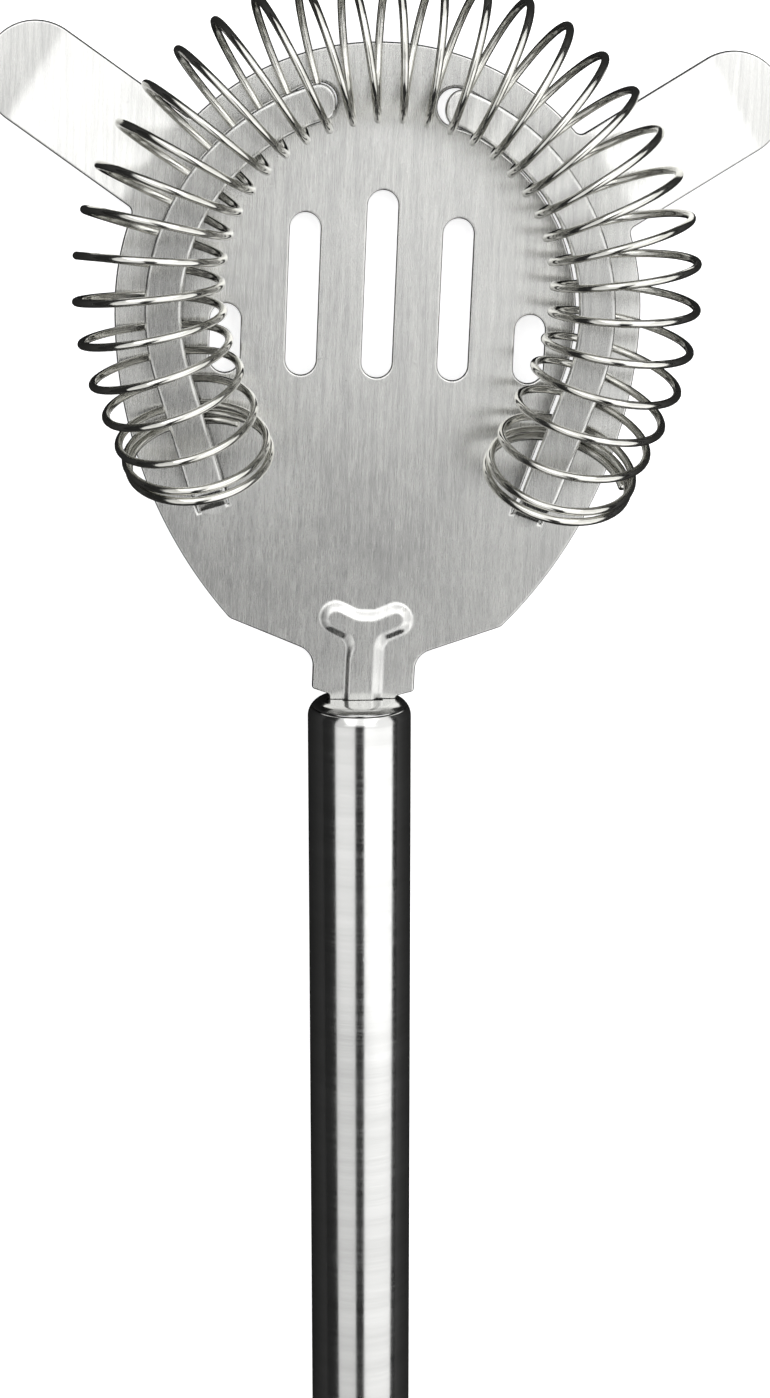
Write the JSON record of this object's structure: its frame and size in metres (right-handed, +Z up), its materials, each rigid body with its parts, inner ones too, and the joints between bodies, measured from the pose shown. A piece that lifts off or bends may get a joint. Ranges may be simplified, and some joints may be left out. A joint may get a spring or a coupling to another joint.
{
  "type": "hawthorne strainer",
  "caption": "Bar strainer: a slotted steel plate with two ears carries a coil spring in a horseshoe on raised tongues, with a round tube handle.",
  "frame": {"origin": "middle of the whole strainer's footprint, on the surface that it lies on", "axes": "+Y from the handle's end to the top of the plate, +X across the plate to the right seen from the spring side, +Z up towards the spring"},
  "size_m": [0.1192, 0.2418, 0.0299],
  "materials": {
    "brushed_steel": "brushed along the handle, edges rolled by the stamping die",
    "spring_wire": "bright drawn wire",
    "handle_steel": "polished round the tube, with fine scratches"
  },
  "bodies": {
    "frame": {"strainer_plate": "brushed_steel", "handle_front_cap": "handle_steel", "handle_tube": "handle_steel", "handle_end_cap": "handle_steel"},
    "spring": {"coil_spring": "spring_wire"}
  },
  "joints": [
    {"name": "spring_slide", "type": "slide", "parent": "frame", "child": "spring", "axis": [0, -0.9984, 0.0559], "range_m": [0, 0.004], "stiffness_N_per_m": 600}
  ]
}
